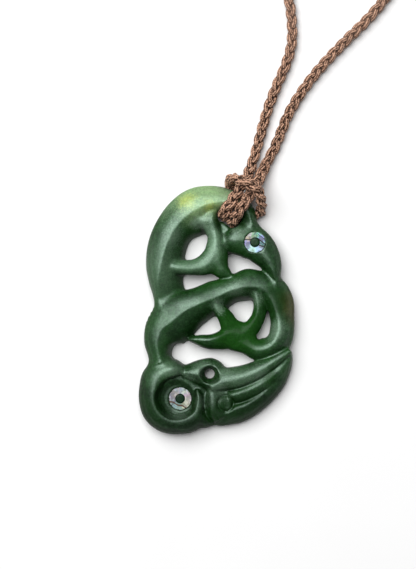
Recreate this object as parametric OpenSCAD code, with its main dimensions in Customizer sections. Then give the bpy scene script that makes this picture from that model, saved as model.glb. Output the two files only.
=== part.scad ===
// Manaia pendant: a pierced carving in green stone with two shell eye rings, on a plaited neck cord.
// The carving lies on its flat back, its long side along Y, its worked face up.
// Millimetres. X to the right of the face, Y towards the cord, Z up. The back is at z = 0.

/* [Stone] */
// Greatest thickness of the carving, from its back to its highest ridge
stone_thickness = 9.3; // [8:0.1:11]
// Bevel between the flat back and the sides
back_bevel = 0.5; // [0.2:0.1:0.8]
// How far the cord's hole reaches towards the rim, past the cord's two runs
hole_reach = 1.65; // [1.5:0.05:1.8]
// Radius of the hole through the nostril
nostril_hole_r = 1.5; // [1:0.1:1.8]
// Radius of the dish around the nostril
nostril_dish_r = 3.5; // [3:0.1:3.8]
// Radius of the hollow around the lower eye
eye_hollow_r = 7.0; // [6.5:0.1:7.2]
// Depth of the engraved lines
engraving_depth = 0.6; // [0.3:0.1:0.8]

/* [Eye rings] */
// Outer radius of the upper ring
upper_ring_r = 3.2; // [3:0.05:3.3]
// Outer radius of the lower ring
lower_ring_r = 3.45; // [3.2:0.05:3.5]
// Radius of the stone pupil inside each ring
pupil_r = 1.5; // [1.3:0.05:1.6]
// Thickness of the shell
shell_t = 1.2; // [0.8:0.1:1.5]
// Notches cut around each ring
ring_notches = 9; // [6:1:12]
// Free space between a ring and its seat
seat_gap = 0.05; // [0.03:0.01:0.1]

/* [Neck cord] */
// Diameter of the plaited cord
cord_d = 3.4; // [3.2:0.1:3.4]
// Radius of the barrel clasp
clasp_r = 2.8; // [2.5:0.1:2.8]
// Length of the barrel clasp
clasp_len = 16; // [12:1:17]
// Free space around the cord in its channels
channel_gap = 0.15; // [0.1:0.05:0.2]

/* [Hidden] */

stone_colour = [0.10, 0.27, 0.15];
shell_colour = [0.80, 0.84, 0.86];
cord_colour = [0.45, 0.34, 0.26];
clasp_colour = [0.16, 0.14, 0.13];

// Where the round features stand: x, y
left_run = [2.2, 29.5];
right_run = [4.9, 27.4];
nostril = [-2.1, -19.8];
upper_eye = [11.8, 21];
lower_eye = [-11.3, -27.4];
eye_hollow = [-12.3, -27.1];
engraved_ring = [2.8, -28.8];
engraved_ring_r = 2.4;
engraved_ring_z = 6.9;

// Height of each shell ring's face
upper_eye_z = 8.3;
lower_eye_z = 5.0;

// The way of each channel in the back, from its run of the cord to the stone's edge
left_channel_angle = 77;
right_channel_angle = 18;
channel_length = 14;

// Higher than the carving, for cuts that go right through
above_all = 12;

// Each form of the carving is a limb that follows its own ridge. A row is one section:
// x, y of the ridge, width to its left, width to its right, height of the ridge.
// Left and right are as seen when walking along the rows.
arch = [
    [11.0, 26.0, 3.0, 1.8, 7.4],
    [9.7, 30.4, 4.8, 2.3, 7.8],
    [6.5, 33.0, 5.4, 3.2, 8.2],
    [2.0, 33.4, 4.8, 4.9, 8.5],
    [-2.5, 32.6, 4.4, 6.2, 8.8],
    [-7.0, 30.7, 7.8, 6.9, 9.0],
    [-10.0, 28.4, 7.2, 6.7, 9.2],
    [-12.6, 25.5, 6.2, 6.3, 9.3],
    [-15.2, 20.8, 6.3, 5.9, 9.3],
    [-16.7, 16.0, 7.0, 5.3, 9.2],
    [-17.8, 11.2, 7.6, 4.0, 8.9],
    [-18.3, 8.0, 8.2, 2.6, 8.2],
    [-18.2, 5.5, 8.0, 1.8, 7.2],
    [-17.6, 2.6, 6.6, 1.6, 6.4],
    [-17.2, 1.2, 5.6, 1.4, 6.0]
];
claw_long = [
    [-1.2, 30.4, 1.4, 1.8, 7.0],
    [-1.0, 28.5, 1.5, 2.6, 7.8],
    [-0.6, 25.5, 1.7, 3.0, 8.2],
    [-0.2, 22.5, 1.9, 2.6, 8.3],
    [-0.3, 20.0, 2.3, 2.9, 8.3],
    [-1.2, 16.5, 4.5, 3.4, 8.3],
    [-3.6, 13.7, 2.9, 3.6, 8.3],
    [-7.5, 12.6, 1.8, 3.1, 8.3],
    [-11.0, 12.7, 1.7, 2.9, 8.3],
    [-13.2, 13.2, 1.8, 2.3, 8.2],
    [-14.3, 13.5, 1.4, 1.6, 7.9],
    [-14.9, 13.7, 0.7, 0.8, 7.4]
];
claw_short = [
    [0.3, 23.0, 1.5, 1.2, 7.7],
    [0.4, 20.0, 2.3, 2.0, 8.0],
    [0.5, 17.0, 3.1, 3.0, 8.1],
    [0.9, 14.5, 2.7, 4.0, 8.0],
    [1.8, 12.6, 2.4, 3.0, 7.8],
    [3.2, 11.5, 1.6, 1.8, 7.3],
    [4.8, 10.6, 0.5, 0.6, 6.4]
];
claw_hook = [
    [-1.0, 27.7, 3.2, 3.2, 8.0],
    [-2.6, 27.8, 3.0, 2.8, 8.2],
    [-4.2, 27.8, 2.3, 2.0, 8.1],
    [-5.4, 27.7, 1.6, 1.4, 7.8],
    [-6.3, 27.5, 0.8, 0.8, 7.2]
];
upper_head = [
    [2.1, 21.2, 0.8, 1.0, 6.6],
    [2.9, 21.4, 2.2, 2.6, 7.4],
    [4.0, 21.6, 3.4, 3.8, 8.1],
    [6.0, 21.8, 4.8, 4.6, 8.5],
    [8.8, 21.6, 6.0, 5.1, 8.7],
    [12.0, 20.2, 5.4, 5.1, 8.9],
    [14.8, 17.0, 4.8, 4.0, 8.9],
    [16.8, 13.5, 3.6, 2.4, 8.6],
    [18.0, 10.0, 1.9, 1.3, 8.2],
    [18.8, 6.8, 0.6, 0.6, 7.6]
];
band = [
    [-17.6, -16.0, 3.6, 3.0, 7.6],
    [-17.9, -13.0, 3.6, 4.6, 8.2],
    [-18.3, -10.0, 4.2, 7.0, 8.8],
    [-17.2, -6.3, 5.3, 8.0, 9.1],
    [-13.8, -3.5, 7.8, 7.8, 9.2],
    [-10.0, -0.4, 6.5, 7.4, 9.2],
    [-4.9, 2.1, 5.3, 6.0, 9.1],
    [0.0, 4.0, 5.4, 5.0, 9.0],
    [5.0, 6.3, 4.4, 4.3, 8.9],
    [10.0, 7.1, 5.8, 4.3, 8.7],
    [13.5, 6.9, 5.0, 4.0, 8.3],
    [16.0, 5.6, 4.0, 3.0, 7.6]
];
right_limb = [
    [12.5, 7.0, 2.0, 3.5, 7.6],
    [15.7, 5.2, 6.4, 2.9, 8.2],
    [17.5, 2.2, 6.5, 2.3, 8.4],
    [18.6, -1.5, 5.8, 2.1, 8.6],
    [19.4, -5.5, 4.8, 2.7, 8.9],
    [18.3, -9.0, 5.1, 2.5, 8.9],
    [16.2, -11.5, 3.7, 3.3, 8.7],
    [12.8, -12.3, 3.3, 3.2, 8.3],
    [9.5, -11.0, 2.8, 3.8, 7.6],
    [7.0, -9.6, 2.8, 3.8, 7.0]
];
prong_left = [
    [6.6, -8.5, 2.4, 4.0, 7.2],
    [3.8, -5.2, 2.4, 3.4, 7.4],
    [2.1, -2.4, 1.7, 3.1, 7.6],
    [0.8, -0.4, 1.5, 2.5, 7.6],
    [0.1, 0.8, 1.5, 2.0, 7.5],
    [-0.3, 1.8, 1.4, 1.6, 7.4],
    [-0.5, 2.6, 1.2, 1.3, 7.1]
];
prong_right = [
    [7.6, -8.0, 2.2, 3.6, 7.0],
    [10.6, -5.0, 1.9, 3.0, 7.4],
    [12.3, -2.0, 1.5, 2.8, 7.6],
    [12.8, 1.0, 1.3, 2.8, 7.6],
    [12.5, 3.4, 1.2, 2.5, 7.5],
    [12.0, 5.0, 0.9, 1.8, 7.3],
    [11.5, 6.0, 0.4, 0.8, 6.9]
];
prong_low = [
    [7.0, -7.0, 5.4, 2.6, 7.0],
    [2.8, -7.4, 5.1, 1.8, 7.4],
    [0.4, -8.4, 4.1, 1.5, 7.5],
    [-2.2, -9.2, 3.0, 1.6, 7.4],
    [-4.9, -9.2, 2.2, 1.5, 7.1],
    [-7.2, -9.2, 1.1, 1.1, 6.7],
    [-8.8, -9.1, 0.4, 0.4, 6.2]
];
eye_rim = [
    [-10.2, -18.2, 1.8, 1.2, 6.8],
    [-13.2, -17.8, 3.0, 2.3, 8.6],
    [-16.4, -18.8, 3.0, 3.8, 9.1],
    [-18.6, -21.0, 3.0, 4.6, 9.1],
    [-19.6, -24.0, 3.0, 4.4, 9.1],
    [-19.6, -28.0, 3.0, 4.5, 9.1],
    [-18.4, -31.4, 3.0, 4.6, 9.0],
    [-15.6, -34.0, 3.0, 4.2, 8.9],
    [-12.0, -34.9, 3.0, 3.7, 8.7],
    [-8.0, -34.2, 3.0, 3.6, 8.4],
    [-5.6, -31.9, 2.6, 3.2, 8.2],
    [-5.0, -29.0, 2.4, 1.9, 8.0],
    [-5.3, -26.3, 1.9, 1.6, 7.8],
    [-5.8, -24.3, 1.0, 1.0, 7.1]
];
cheek = [
    [-10.6, -19.4, 1.9, 1.9, 7.2],
    [-8.6, -19.4, 2.8, 2.8, 8.2],
    [-5.5, -19.6, 4.2, 4.2, 8.7],
    [-2.0, -20.0, 4.8, 4.8, 8.8]
];
jaw = [
    [-2.2, -24.2, 1.4, 0.7, 7.0],
    [-1.9, -25.8, 3.2, 1.3, 7.8],
    [-1.6, -28.0, 4.5, 1.6, 8.1],
    [-1.3, -30.2, 4.5, 1.8, 8.0],
    [-0.6, -32.2, 4.0, 2.1, 7.5],
    [0.6, -34.0, 3.0, 2.4, 6.4]
];
feather_top = [
    [-2.0, -23.6, 3.0, 2.0, 8.2],
    [2.0, -22.0, 4.0, 2.8, 8.8],
    [5.0, -21.3, 3.6, 3.2, 9.0],
    [8.0, -20.5, 3.3, 3.1, 9.0],
    [12.0, -18.9, 2.9, 2.8, 8.8],
    [16.0, -16.7, 2.4, 2.2, 8.4],
    [20.0, -14.1, 1.8, 1.6, 7.7],
    [22.7, -12.4, 1.1, 0.9, 6.9]
];
feather_mid = [
    [3.6, -26.6, 1.4, 2.0, 7.6],
    [5.0, -26.2, 1.9, 3.0, 8.0],
    [8.0, -25.3, 1.9, 3.4, 8.0],
    [12.0, -23.7, 2.1, 3.2, 7.8],
    [16.0, -21.5, 2.5, 2.6, 7.3],
    [19.5, -18.6, 2.6, 2.2, 6.6],
    [22.2, -15.2, 1.8, 1.2, 6.0]
];
feather_low = [
    [3.0, -31.0, 1.6, 4.6, 7.0],
    [5.5, -30.5, 1.8, 5.0, 7.2],
    [8.5, -29.6, 1.8, 4.6, 7.1],
    [12.0, -27.7, 1.8, 4.1, 6.9],
    [15.5, -24.8, 1.7, 3.8, 6.6],
    [18.4, -21.8, 1.5, 3.3, 6.2],
    [20.7, -18.6, 1.3, 2.4, 5.9],
    [22.5, -15.0, 1.2, 1.25, 5.7],
    [22.9, -12.9, 1.0, 0.6, 5.6]
];

// How each limb's section falls from its ridge: rows, then for its left and for its right side
// the height of the edge and the bulge. A bulge of 1 is a flat bevel, more is a fuller curve.
limbs = [
    [arch, 1.2, 1.2, 4.6, 1.7],
    [band, 5.2, 1.5, 1.0, 1.3],
    [eye_rim, 8.2, 2.0, 4.4, 2.0],
    [claw_long, 6.0, 2.4, 6.4, 2.0],
    [claw_short, 5.6, 1.8, 5.6, 2.4],
    [claw_hook, 6.0, 3.0, 6.0, 2.6],
    [upper_head, 5.4, 2.2, 4.6, 2.6],
    [right_limb, 4.4, 1.7, 5.4, 2.0],
    [prong_left, 6.2, 1.8, 5.6, 1.4],
    [prong_right, 6.2, 1.8, 5.4, 1.4],
    [prong_low, 4.0, 1.5, 5.4, 1.6],
    [cheek, 5.0, 2.4, 5.0, 2.4],
    [jaw, 6.0, 1.4, 6.0, 2.0],
    [feather_top, 5.4, 2.2, 7.2, 2.4],
    [feather_mid, 5.8, 1.4, 5.2, 1.6],
    [feather_low, 4.8, 1.2, 3.0, 1.5]
];

// Round forms between the limbs: x, y, radius, height of the middle, height of the edge, bulge
domes = [
    [-2.0, -20.2, 5.2, 8.7, 4.3, 3.0],
    [1.2, -29.0, 7.1, 7.0, 3.6, 2.4],
    [-3.8, -33.4, 3.3, 6.8, 4.0, 2.0],
    [-12.0, -27.3, 9.0, 6.0, 6.0, 2.0],
    [2.6, 24.4, 3.6, 5.6, 5.0, 2.0],
    [3.4, 20.3, 2.9, 5.0, 3.0, 2.0],
    [7.2, -8.2, 4.5, 6.9, 5.8, 2.0]
];

// The groove between the lower head and the jaw: x, y, height of its bottom
mouth_line = [
    [-4.2, -24.4, 7.4],
    [-3.9, -27.0, 6.6],
    [-3.8, -30.0, 6.2],
    [-3.0, -32.8, 5.4],
    [-1.2, -34.8, 4.4],
    [1.2, -37.0, 3.2]
];
mouth_line_w = 1.5;
mouth_line_h = 3.5;

// Fine arcs below the lower eye: radius, height of the bottom. Then where they start and how far they turn.
eye_arcs = [[4.9, 5.2], [5.5, 5.8], [6.1, 6.9]];
eye_arcs_from = 215;
eye_arcs_turn = 120;

// Half the width of an engraved line at the top of its cut
engraving_half_w = 2;

// A notch in a shell ring: its side, how far its middle is outside the ring, and the turn of the first one
notch_side = 0.5;
notch_out = 0.12;
first_notch_angle = 20;

// The path of the cord's middle: x, y, z. It lies on the ground but for the knot at the stone.
cord_path = [
    [17.0, 214.0, 2.8], [11.5, 214.0, 2.8], [1.5, 211.3, 2.0], [-8.5, 204.5, 1.75], [-16.5, 194.5, 1.75],
    [-21.3, 182.5, 1.75], [-22.0, 170.0, 1.75], [-18.8, 158.0, 1.75], [-12.4, 147.0, 1.75],
    [-4.4, 137.0, 1.75], [4.2, 127.3, 1.75], [12.6, 117.5, 1.75], [19.2, 107.5, 1.75], [22.2, 98.5, 1.75],
    [23.4, 90.5, 1.75], [23.3, 82.5, 1.75], [21.5, 76.3, 1.75], [19.0, 70.5, 1.75], [16.3, 63.6, 1.75],
    [14.6, 58.0, 1.75], [13.2, 52.8, 1.8], [12.2, 49.2, 2.1], [11.2, 46.0, 2.8], [10.3, 43.4, 3.8],
    [9.3, 41.0, 5.1], [8.0, 38.6, 6.8], [6.5, 36.4, 9.0], [5.0, 34.2, 10.1], [3.6, 32.1, 9.7],
    [2.6, 30.4, 7.9], [2.2, 29.5, 5.2], [2.3, 29.8, 2.4], [2.7, 31.4, 1.8], [3.5, 34.8, 1.8],
    [4.1, 37.9, 1.8], [4.4, 39.7, 3.3], [4.5, 40.3, 6.0], [5.0, 40.6, 8.8], [6.6, 40.2, 11.2],
    [8.8, 39.3, 12.2], [10.9, 38.3, 11.9], [12.6, 36.9, 10.7], [13.5, 35.1, 8.8], [13.8, 33.3, 6.4],
    [14.0, 31.7, 4.0], [12.9, 30.1, 2.0], [10.6, 29.3, 1.8], [6.9, 28.1, 1.8], [5.2, 27.5, 2.4],
    [4.9, 27.4, 5.2], [5.6, 28.6, 7.9], [6.8, 30.4, 9.5], [8.2, 32.5, 10.0], [9.6, 34.7, 8.6],
    [11.0, 36.9, 6.7], [12.4, 39.2, 5.1], [13.6, 41.6, 3.8], [14.8, 44.2, 2.8], [16.2, 47.0, 2.1],
    [17.8, 50.0, 1.8], [19.8, 54.6, 1.75], [22.0, 60.2, 1.75], [25.0, 65.6, 1.75], [29.0, 71.4, 1.75],
    [34.0, 77.4, 1.75], [40.5, 84.2, 1.75], [46.6, 90.2, 1.75], [52.4, 97.0, 1.75], [57.4, 106.0, 1.75],
    [60.3, 117.0, 1.75], [62.0, 129.0, 1.75], [62.8, 141.0, 1.75], [63.2, 153.5, 1.75], [63.0, 166.0, 1.75],
    [61.3, 178.5, 1.75], [57.4, 190.0, 1.75], [50.8, 200.0, 1.75], [41.5, 208.5, 1.75], [32.0, 213.2, 2.1],
    [28.5, 214.0, 2.8], [23.0, 214.0, 2.8]
];
cord_sides = 8;

// Where a section is cut, as shares of its width from the edge to the ridge
cuts = [1, 0.85, 0.62, 0.32];
sections_per_row = 2;

// A smooth curve through four rows, at share t between the second and the third
function between(a, b, c, d, t) =
    0.5 * (2 * b + (c - a) * t + (2 * a - 5 * b + 4 * c - d) * t * t + (3 * b - a - 3 * c + d) * t * t * t);

function row_or_beyond(rows, i) =
    i < 0 ? 2 * rows[0] - rows[1] :
    i >= len(rows) ? 2 * rows[len(rows) - 1] - rows[len(rows) - 2] :
    rows[i];

function smoothed(rows, n) = [
    for (i = [0 : len(rows) - 2], k = [0 : n - 1])
        between(row_or_beyond(rows, i - 1), rows[i], rows[i + 1], row_or_beyond(rows, i + 2), k / n),
    rows[len(rows) - 1]
];

function heading(rows, i) =
    let (d = rows[min(i + 1, len(rows) - 1)] - rows[max(i - 1, 0)])
    [d.x, d.y] / norm([d.x, d.y]);

function fall(ridge, edge, bulge, share) =
    let (low = min(edge, ridge)) low + (ridge - low) * (1 - pow(share, bulge));

// One side of a section, from the bottom up to just below the ridge: distance from the ridge, height
function side(w, ridge, edge, bulge) =
    let (bevel = min(back_bevel, w * 0.4))
    concat(
        [[w - bevel, 0], [w, bevel]],
        [for (s = cuts) [w * s, fall(ridge, edge, bulge, s)]]
    );

function reversed(list) = [for (i = [len(list) - 1 : -1 : 0]) list[i]];

function section(row, dir, form) =
    let (
        left = side(row[2], row[4], form[1], form[2]),
        right = side(row[3], row[4], form[3], form[4]),
        outline = concat(
            [for (p = left) [p.x, p.y]],
            [[0, row[4]]],
            [for (p = reversed(right)) [-p.x, p.y]]
        )
    )
    [for (p = outline) [row.x - dir.y * p.x, row.y + dir.x * p.x, p.y]];

// A closed skin over rings of points
module skin(rings) {
    n = len(rings[0]);
    last = len(rings) - 1;
    points = [for (ring = rings, p = ring) p];
    walls = [
        for (i = [0 : last - 1], j = [0 : n - 1])
            let (a = i * n + j, b = i * n + (j + 1) % n)
            each [[a, b + n, b], [a, a + n, b + n]]
    ];
    start_cap = [for (j = [0 : n - 1]) j];
    end_cap = [for (j = [n - 1 : -1 : 0]) last * n + j];
    polyhedron(points, concat(walls, [start_cap, end_cap]));
}

module limb(form) {
    rows = smoothed(form[0], sections_per_row);
    skin([for (i = [0 : len(rows) - 1]) section(rows[i], heading(rows, i), form)]);
}

module dome(d) {
    shares = [1, 0.85, 0.6, 0.3];
    profile = concat(
        [[0, 0], [d[2] - back_bevel, 0], [d[2], back_bevel]],
        [for (s = shares) [d[2] * s, fall(d[3], d[4], d[5], s)]],
        [[0, d[3]]]
    );
    translate([d.x, d.y, 0])
        rotate_extrude($fn = 28) polygon(profile);
}

// A ring-shaped cut with a V bottom
module engraved_circle(r, bottom, from = 0, turn = 360) {
    rotate([0, 0, from])
        rotate_extrude(angle = turn, $fn = 40)
            polygon([[r, bottom], [r + engraving_half_w, above_all], [r - engraving_half_w, above_all]]);
}

module mouth_groove() {
    rows = smoothed(mouth_line, 2);
    skin([
        for (i = [0 : len(rows) - 1])
            let (dir = heading(rows, i), out = mouth_line_w * [-dir.y, dir.x], top = rows[i].z + mouth_line_h)
            [
                rows[i],
                [rows[i].x + out.x, rows[i].y + out.y, top],
                [rows[i].x - out.x, rows[i].y - out.y, top]
            ]
    ]);
}

// A rounded slot that the cord's two runs fill side by side
module cord_hole() {
    run_way = unit(right_run - left_run);
    outward = hole_reach * [-run_way.y, run_way.x];
    hull()
        for (run = [left_run, right_run], place = [run, run + outward])
            translate([place.x, place.y, -1])
                cylinder(r = cord_d / 2 + channel_gap, h = above_all, $fn = 24);
}

module nostril_cut() {
    translate([nostril.x, nostril.y, -1])
        cylinder(r = nostril_hole_r, h = above_all, $fn = 28);
    translate([nostril.x, nostril.y, 0])
        rotate_extrude($fn = 40)
            polygon([
                [0, 4.4], [nostril_dish_r - 2.1, 4.4], [nostril_dish_r - 1.1, 6.4],
                [nostril_dish_r - 0.3, 8.6], [nostril_dish_r + 0.3, above_all], [0, above_all]
            ]);
}

module eye_hollow_cut() {
    translate([eye_hollow.x, eye_hollow.y, 0])
        rotate_extrude($fn = 48)
            polygon([
                [0, lower_eye_z], [eye_hollow_r - 3.1, lower_eye_z], [eye_hollow_r - 2.1, 5.5],
                [eye_hollow_r - 1.2, 6.6], [eye_hollow_r - 0.6, 7.9], [eye_hollow_r - 0.1, 9.4],
                [eye_hollow_r + 0.2, above_all], [0, above_all]
            ]);
    translate([eye_hollow.x, eye_hollow.y, 0])
        for (arc = eye_arcs)
            engraved_circle(arc[0], arc[1], eye_arcs_from, eye_arcs_turn);
}

// The channel that a shell ring sits in, around its stone pupil
module ring_seat(centre, ring_r, top) {
    floor_z = top - shell_t - seat_gap;
    translate([centre.x, centre.y, floor_z])
        difference() {
            cylinder(r = ring_r + seat_gap, h = above_all, $fn = 48);
            translate([0, 0, -1])
                cylinder(r = pupil_r, h = above_all + 2, $fn = 32);
        }
    translate([centre.x, centre.y, top])
        cylinder(r = ring_r + seat_gap, h = above_all, $fn = 48);
}

// A channel in the back, which the cord lies in between its hole and the stone's edge
module cord_channel(start, angle) {
    half = cord_d / 2 + channel_gap;
    translate([start.x, start.y, 0])
        rotate([0, 0, angle])
            rotate([90, 0, 90])
                linear_extrude(channel_length)
                    union() {
                        translate([0, half])
                            circle(r = half, $fn = 16);
                        translate([-half, -1])
                            square([2 * half, half + 1]);
                    }
}

module carving() {
    difference() {
        union() {
            for (form = limbs)
                limb(form);
            for (d = domes)
                dome(d);
        }
        cord_hole();
        cord_channel(left_run, left_channel_angle);
        cord_channel(right_run, right_channel_angle);
        nostril_cut();
        eye_hollow_cut();
        mouth_groove();
        translate([engraved_ring.x, engraved_ring.y, 0])
            engraved_circle(engraved_ring_r, engraved_ring_z - engraving_depth);
        ring_seat(upper_eye, upper_ring_r, upper_eye_z);
        ring_seat(lower_eye, lower_ring_r, lower_eye_z);
    }
}

module stone() {
    color(stone_colour)
        resize([0, 0, stone_thickness])
            carving();
}

// A flat shell ring with small notches around its rim
module shell_ring(r) {
    linear_extrude(shell_t)
        difference() {
            circle(r = r, $fn = 64);
            circle(r = pupil_r + seat_gap, $fn = 48);
            for (i = [0 : ring_notches - 1])
                rotate([0, 0, i * 360 / ring_notches + first_notch_angle])
                    translate([r + notch_out, 0])
                        rotate([0, 0, 45])
                            square(notch_side, center = true);
        }
}

module upper_eye_ring() {
    color(shell_colour)
        translate([upper_eye.x, upper_eye.y, upper_eye_z - shell_t])
            shell_ring(upper_ring_r);
}

module lower_eye_ring() {
    color(shell_colour)
        translate([lower_eye.x, lower_eye.y, lower_eye_z - shell_t])
            shell_ring(lower_ring_r);
}

function unit(v) = v / norm(v);

function square_to(v, dir) = unit(v - (v * dir) * dir);

function direction(path, i) =
    let (
        last = len(path) - 1,
        before = i > 0 ? unit(path[i] - path[i - 1]) : [0, 0, 0],
        after = i < last ? unit(path[i + 1] - path[i]) : [0, 0, 0]
    )
    unit(before + after);

function ring(centre, dir, across, r) =
    let (up = cross(dir, across))
    [
        for (k = [0 : cord_sides - 1])
            let (a = k * 360 / cord_sides)
            centre + r * (cos(a) * across + sin(a) * up)
    ];

// Rings along a path. Each ring's first direction is carried on to the next one, so the tube has no twist.
function tube(path, r) = [
    for (
        i = 0, across = square_to([0, 1, 0], direction(path, 0));
        i < len(path);
        i = i + 1, across = i < len(path) ? square_to(across, direction(path, i)) : across
    )
    ring(path[i], direction(path, i), across, r)
];

module neck_cord() {
    color(cord_colour)
        skin(tube(cord_path, cord_d / 2));
}

// A plain barrel. The cord's two ends go into it and meet its solid middle.
module clasp() {
    first = cord_path[0];
    last = cord_path[len(cord_path) - 1];
    core = norm(last - first) / 2;
    half = clasp_len / 2;
    bore_r = cord_d / 2 + seat_gap;
    chamfer = 0.5;
    color(clasp_colour)
        translate((first + last) / 2)
            rotate([0, 90, 0])
                rotate_extrude($fn = 64)
                    polygon([
                        [0, -core], [bore_r, -core], [bore_r, -half],
                        [clasp_r - chamfer, -half], [clasp_r, chamfer - half],
                        [clasp_r, half - chamfer], [clasp_r - chamfer, half],
                        [bore_r, half], [bore_r, core], [0, core]
                    ]);
}

stone();
upper_eye_ring();
lower_eye_ring();
neck_cord();
clasp();
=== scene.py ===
import math

import bpy
import numpy as np
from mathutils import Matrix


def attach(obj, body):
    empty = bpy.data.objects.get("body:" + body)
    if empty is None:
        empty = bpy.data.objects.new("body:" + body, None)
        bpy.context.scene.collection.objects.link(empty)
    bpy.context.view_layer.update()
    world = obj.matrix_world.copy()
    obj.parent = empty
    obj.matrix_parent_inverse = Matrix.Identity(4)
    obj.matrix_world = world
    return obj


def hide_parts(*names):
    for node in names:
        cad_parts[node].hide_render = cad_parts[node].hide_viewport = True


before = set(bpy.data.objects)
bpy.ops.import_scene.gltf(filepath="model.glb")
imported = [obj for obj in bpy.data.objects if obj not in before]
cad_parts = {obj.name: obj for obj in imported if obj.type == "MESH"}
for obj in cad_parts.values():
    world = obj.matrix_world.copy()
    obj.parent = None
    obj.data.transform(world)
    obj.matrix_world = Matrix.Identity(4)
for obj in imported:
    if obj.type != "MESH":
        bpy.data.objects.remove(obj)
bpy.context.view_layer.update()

MM = 0.001
PHOTO_WIDTH_PX = 416
PHOTO_HEIGHT_PX = 569
PX_PER_MM = 3.2
# Where the carving's origin shows in the picture
ORIGIN_PX = (216.5, 310.0)
CAMERA_HEIGHT = 620
CAMERA_CLIP = (0.01, 10)
SENSOR = 36


# Small helpers for the material nodes

class Shader:
    """A material with one Principled shader, and short calls that add nodes to it."""

    def __init__(self, name):
        self.material = bpy.data.materials.new(name)
        self.material.use_nodes = True
        self.tree = self.material.node_tree
        self.tree.nodes.clear()
        self.principled = self.tree.nodes.new("ShaderNodeBsdfPrincipled")
        output = self.tree.nodes.new("ShaderNodeOutputMaterial")
        self.tree.links.new(self.principled.outputs["BSDF"], output.inputs["Surface"])

    def feed(self, socket, value):
        if isinstance(value, bpy.types.NodeSocket):
            self.tree.links.new(value, socket)
        else:
            socket.default_value = value

    def node(self, kind, inputs, out=0, **settings):
        made = self.tree.nodes.new("ShaderNode" + kind)
        for name, value in settings.items():
            setattr(made, name, value)
        for key, value in inputs.items():
            self.feed(made.inputs[key], value)
        return made.outputs[out]

    def surface(self, **values):
        """Inputs of the Principled shader, with _ in place of each space in their names."""
        for name, value in values.items():
            self.feed(self.principled.inputs[name.replace("_", " ")], value)

    def place(self):
        """The point on the object, in millimetres."""
        point = self.node("TexCoord", {}, out="Object")
        return self.node("VectorMath", {0: point, "Scale": 1 / MM}, operation="SCALE")

    def attribute(self, name):
        return self.node("Attribute", {}, out="Fac", attribute_name=name)

    def math(self, operation, a, b=0.0):
        return self.node("Math", {0: a, 1: b}, operation=operation)

    def around_zero(self, value, amount):
        """A value from 0 to 1, moved to lie around 0 and made amount times as large."""
        return self.math("MULTIPLY", self.math("SUBTRACT", value, 0.5), amount)

    def mix(self, share, a, b, blend="MIX"):
        """A mix of two colours, which are the node's sockets 6 and 7, with output 2."""
        inputs = {0: share, 6: a, 7: b}
        return self.node("Mix", inputs, out=2, data_type="RGBA", blend_type=blend)

    def shade(self, base, light):
        """A colour that is made darker or lighter by a factor."""
        grey = self.node("CombineColor", {0: light, 1: light, 2: light})
        return self.mix(1.0, base, grey, blend="MULTIPLY")

    def noise(self, place, scale, **inputs):
        """Noise with so many waves to a millimetre."""
        return self.node("TexNoise", {"Vector": place, "Scale": scale, **inputs})

    def parts(self, place):
        """The x, y and z of a place."""
        split = self.node("SeparateXYZ", {0: place}).node
        return split.outputs["X"], split.outputs["Y"], split.outputs["Z"]

    def step(self, value, low, high, to_low=0.0, to_high=1.0):
        inputs = {"Value": value, "From Min": low, "From Max": high, "To Min": to_low, "To Max": to_high}
        return self.node("MapRange", inputs, interpolation_type="SMOOTHSTEP")

    def distance(self, place, centre):
        return self.node("VectorMath", {0: place, 1: centre}, out="Value", operation="DISTANCE")

    def spot(self, place, centre, inner, outer):
        """1 within the inner radius of a point, and 0 past the outer one."""
        return self.step(self.distance(place, centre), inner, outer, 1.0, 0.0)

    def ramp(self, value, stops):
        """Colours by value, from rows of a value and its colour."""
        socket = self.node("ValToRGB", {"Fac": value})
        elements = socket.node.color_ramp.elements
        while len(elements) < len(stops):
            elements.new(0.5)
        for element, (position, tint) in zip(elements, stops):
            element.position = position
            element.color = colour(*tint)
        return socket

    def bump(self, height, depth):
        """A bump whose full height is depth millimetres."""
        return self.node("Bump", {"Height": height, "Distance": depth * MM, "Strength": 1.0})


def colour(red, green, blue):
    return (red, green, blue, 1.0)


def new_object(name, points, faces, material):
    """A smooth mesh object from points in millimetres."""
    mesh = bpy.data.meshes.new(name)
    faces = np.asarray(faces, dtype=np.int32)
    corners = faces.shape[1]
    mesh.vertices.add(len(points))
    mesh.vertices.foreach_set("co", (np.asarray(points) * MM).astype(np.float32).ravel())
    mesh.loops.add(faces.size)
    mesh.loops.foreach_set("vertex_index", faces.ravel())
    mesh.polygons.add(len(faces))
    mesh.polygons.foreach_set("loop_start", np.arange(len(faces), dtype=np.int32) * corners)
    mesh.polygons.foreach_set("use_smooth", np.ones(len(faces), dtype=bool))
    mesh.update(calc_edges=True)
    mesh.validate()
    mesh.materials.append(material)
    made = bpy.data.objects.new(name, mesh)
    bpy.context.scene.collection.objects.link(made)
    return made


def add_attribute(made, name, values):
    layer = made.data.attributes.new(name, "FLOAT", "POINT")
    layer.data.foreach_set("value", np.asarray(values, dtype=np.float32))


# Camera, straight above, with the carving where the photograph has it

def make_camera():
    data = bpy.data.cameras.new("camera")
    data.sensor_fit = "AUTO"
    data.sensor_width = SENSOR
    height = PHOTO_HEIGHT_PX / PX_PER_MM
    data.lens = SENSOR * CAMERA_HEIGHT / height
    data.clip_start, data.clip_end = CAMERA_CLIP
    camera = bpy.data.objects.new("camera", data)
    bpy.context.scene.collection.objects.link(camera)
    across = (PHOTO_WIDTH_PX / 2 - ORIGIN_PX[0]) / PX_PER_MM
    up = (ORIGIN_PX[1] - PHOTO_HEIGHT_PX / 2) / PX_PER_MM
    camera.location = (across * MM, up * MM, CAMERA_HEIGHT * MM)
    bpy.context.scene.camera = camera


make_camera()


# The neck cord: a round plait of three strands, which is swept along the cord's path

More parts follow.
